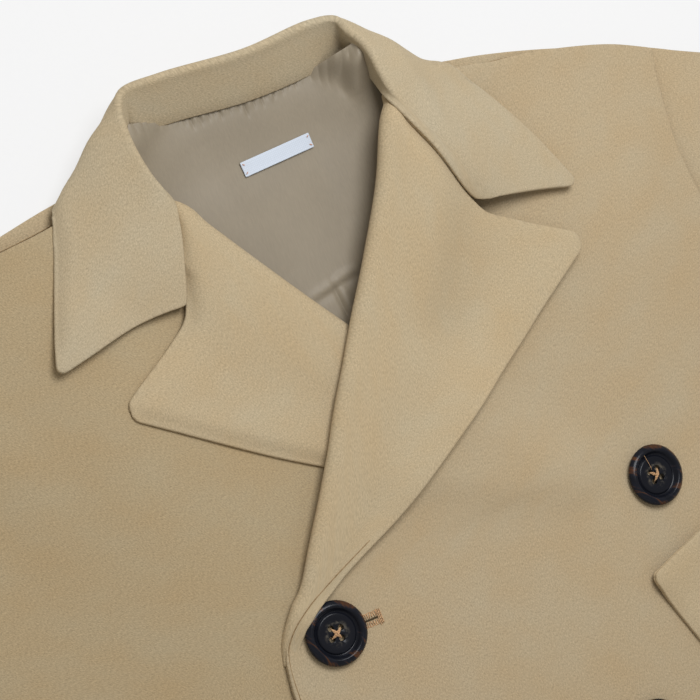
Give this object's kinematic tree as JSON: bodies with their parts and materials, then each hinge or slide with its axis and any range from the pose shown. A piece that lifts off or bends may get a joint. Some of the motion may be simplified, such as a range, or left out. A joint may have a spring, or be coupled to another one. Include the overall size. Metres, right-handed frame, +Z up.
{
  "type": "pea coat",
  "caption": "Double-breasted wool pea coat laid flat on its back, collar and wide lapels turned out, slanted welt pockets and four-hole buttons",
  "frame": {"origin": "middle of the underside, on the surface that the coat lies on", "axes": "+Z up from the surface, +Y from hem to collar, +X to the viewer's right, which is the wearer's left"},
  "size_m": [1.299, 0.7846, 0.0391],
  "materials": {
    "wool": "brushed camel wool melton with a short nap",
    "lining": "taupe satin lining, soft sheen",
    "label": "plain pale woven label with nothing on it",
    "button": "polished dark horn colour with brown streaks"
  },
  "bodies": {
    "root": {"back": "wool", "front_left": "wool", "front_right": "wool", "lapel_left": "wool", "lapel_right": "wool", "collar": "wool", "top_sleeve_left": "wool", "under_sleeve_left": "wool", "top_sleeve_right": "wool", "under_sleeve_right": "wool", "pocket_welt_left": "wool", "pocket_welt_right": "wool", "lining_back": "lining", "neck_label": "label", "button_1": "button", "button_2": "button", "button_3": "button", "button_4": "button", "button_5": "button", "button_6": "button"}
  },
  "joints": []
}
